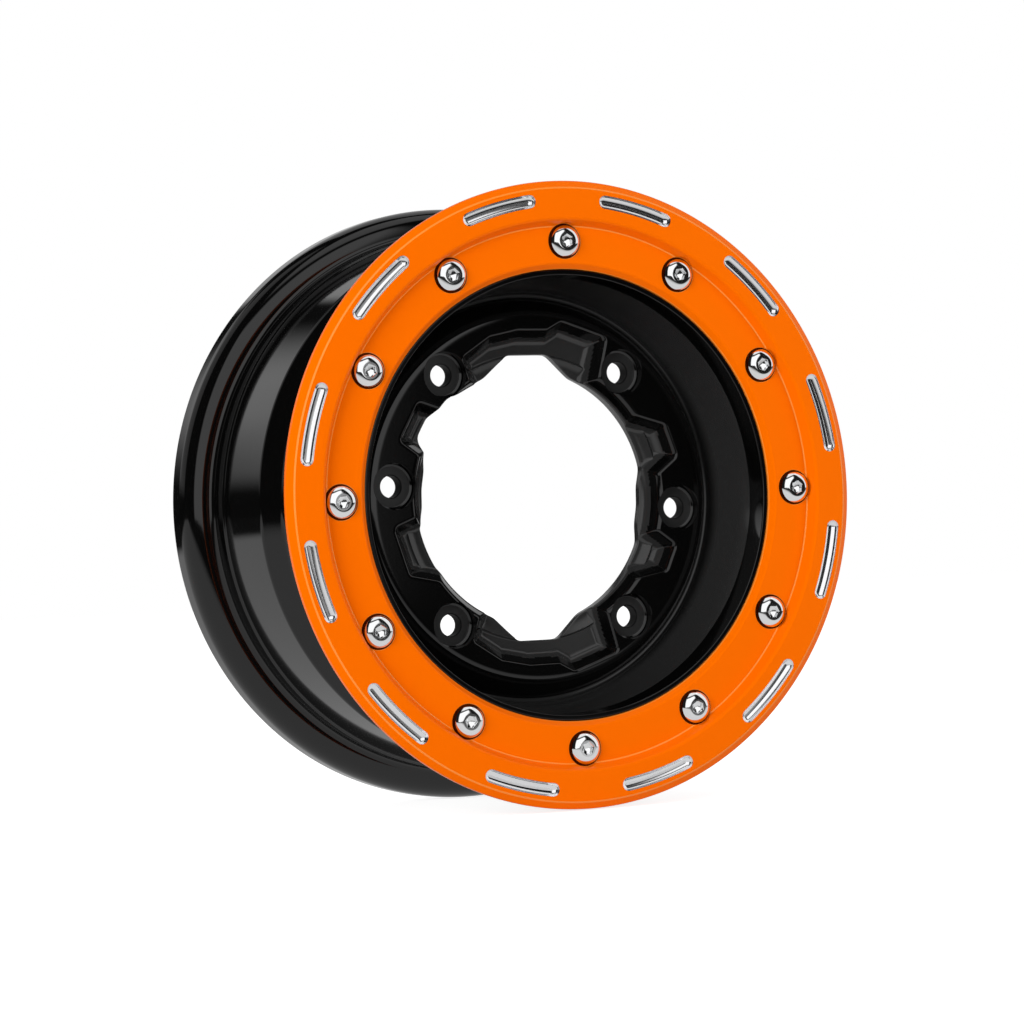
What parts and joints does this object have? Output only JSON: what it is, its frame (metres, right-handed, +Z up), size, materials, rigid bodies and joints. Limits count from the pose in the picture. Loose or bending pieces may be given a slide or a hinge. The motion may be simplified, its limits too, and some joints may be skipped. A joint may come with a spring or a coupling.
{
  "type": "beadlock wheel",
  "caption": "Deep-dish off-road wheel in gloss black with an orange clamp ring screwed round its front rim; bolts to a hub through six lug holes round a large scalloped centre opening.",
  "frame": {"origin": "on the spin axis, halfway between the front face of the clamp ring and the rear flange", "axes": "+Y along the spin axis from the open front towards the vehicle's hub, +Z up as in the picture, +X to the right seen from the front"},
  "size_m": [0.2814, 0.14, 0.2814],
  "materials": {
    "black_powder_coat": "cast aluminium, gloss black powder coat",
    "orange_coated_ring": "turned aluminium, satin orange coat with bare milled grooves",
    "screw_chrome": "bright plated steel",
    "insert_steel": "plain steel"
  },
  "bodies": {
    "root": {"wheel": "black_powder_coat", "beadlock_ring": "orange_coated_ring", "bolt_01": "screw_chrome", "bolt_02": "screw_chrome", "bolt_03": "screw_chrome", "bolt_04": "screw_chrome", "bolt_05": "screw_chrome", "bolt_06": "screw_chrome", "bolt_07": "screw_chrome", "bolt_08": "screw_chrome", "bolt_09": "screw_chrome", "bolt_10": "screw_chrome", "bolt_11": "screw_chrome", "bolt_12": "screw_chrome", "insert_01": "insert_steel", "insert_02": "insert_steel", "insert_03": "insert_steel", "insert_04": "insert_steel", "insert_05": "insert_steel", "insert_06": "insert_steel", "insert_07": "insert_steel", "insert_08": "insert_steel", "insert_09": "insert_steel", "insert_10": "insert_steel", "insert_11": "insert_steel", "insert_12": "insert_steel"}
  },
  "joints": []
}
